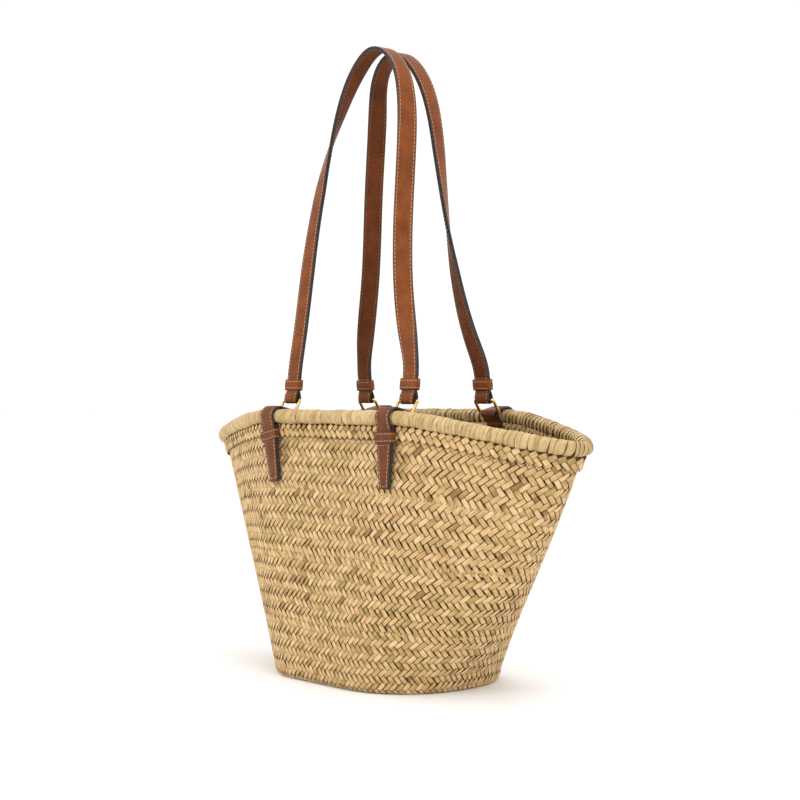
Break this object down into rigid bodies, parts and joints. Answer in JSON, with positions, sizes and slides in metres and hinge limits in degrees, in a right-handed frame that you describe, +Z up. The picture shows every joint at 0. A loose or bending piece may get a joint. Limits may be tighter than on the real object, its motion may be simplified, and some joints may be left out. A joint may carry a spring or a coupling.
{
  "type": "beach bag",
  "caption": "Boat-shaped woven straw beach bag with a leaf-wrapped rim, leather anchors on wire rings and long twin leather shoulder straps.",
  "frame": {"origin": "middle of the flat base, on the ground", "axes": "+Z up, +X along the bag's long axis towards its right tip seen from the front, front side at -Y"},
  "size_m": [0.564, 0.1954, 0.6614],
  "materials": {
    "woven_leaf": "matte twill-plaited palm leaf, straw with olive and brown strands",
    "wrapped_leaf": "satin pale palm leaf strip, wrapped",
    "fibre_core": "rough bundled fibre",
    "tan_leather": "smooth cognac leather with painted edges and pale stitching",
    "lining_leather": "smooth darker brown leather",
    "ring_metal": "polished brass-coloured wire"
  },
  "bodies": {
    "basket": {"base_weave": "woven_leaf", "wall_weave": "woven_leaf", "rim_hem": "wrapped_leaf", "rim_core": "fibre_core", "rim_wrap": "wrapped_leaf", "anchor_strap_front_left": "tan_leather", "anchor_strap_front_right": "tan_leather", "anchor_strap_back_left": "tan_leather", "anchor_strap_back_right": "tan_leather", "anchor_keeper_front_left": "tan_leather", "anchor_keeper_front_right": "tan_leather", "anchor_keeper_back_left": "tan_leather", "anchor_keeper_back_right": "tan_leather"},
    "ring_front_left": {"ring_front_left": "ring_metal"},
    "ring_front_right": {"ring_front_right": "ring_metal"},
    "ring_back_left": {"ring_back_left": "ring_metal"},
    "ring_back_right": {"ring_back_right": "ring_metal"},
    "strap_front": {"strap_front_outer": "tan_leather", "strap_front_lining": "lining_leather", "strap_keeper_front_left": "tan_leather", "strap_keeper_front_right": "tan_leather"},
    "strap_back": {"strap_back_outer": "tan_leather", "strap_back_lining": "lining_leather", "strap_keeper_back_left": "tan_leather", "strap_keeper_back_right": "tan_leather"}
  },
  "joints": [
    {"name": "ring_front_left_swing", "type": "hinge", "parent": "basket", "child": "ring_front_left", "pos_m": [-0.093, -0.062, 0.276], "axis": [1, 0, 0], "range_deg": [0, 60]},
    {"name": "ring_front_right_swing", "type": "hinge", "parent": "basket", "child": "ring_front_right", "pos_m": [0.093, -0.062, 0.276], "axis": [1, 0, 0], "range_deg": [0, 60]},
    {"name": "strap_front_swing", "type": "hinge", "parent": "ring_front_left", "child": "strap_front", "pos_m": [-0.093, -0.05274, 0.29026], "axis": [1, 0, 0], "range_deg": [0, 35]},
    {"name": "ring_back_left_swing", "type": "hinge", "parent": "basket", "child": "ring_back_left", "pos_m": [-0.093, 0.062, 0.276], "axis": [-1, 0, 0], "range_deg": [0, 60]},
    {"name": "ring_back_right_swing", "type": "hinge", "parent": "basket", "child": "ring_back_right", "pos_m": [0.093, 0.062, 0.276], "axis": [-1, 0, 0], "range_deg": [0, 60]},
    {"name": "strap_back_swing", "type": "hinge", "parent": "ring_back_left", "child": "strap_back", "pos_m": [-0.093, 0.05274, 0.29026], "axis": [-1, 0, 0], "range_deg": [0, 35]}
  ],
  "couplings": [
    {"joint": "ring_front_right_swing", "follows": "ring_front_left_swing", "ratio": 1},
    {"joint": "ring_back_right_swing", "follows": "ring_back_left_swing", "ratio": 1}
  ]
}
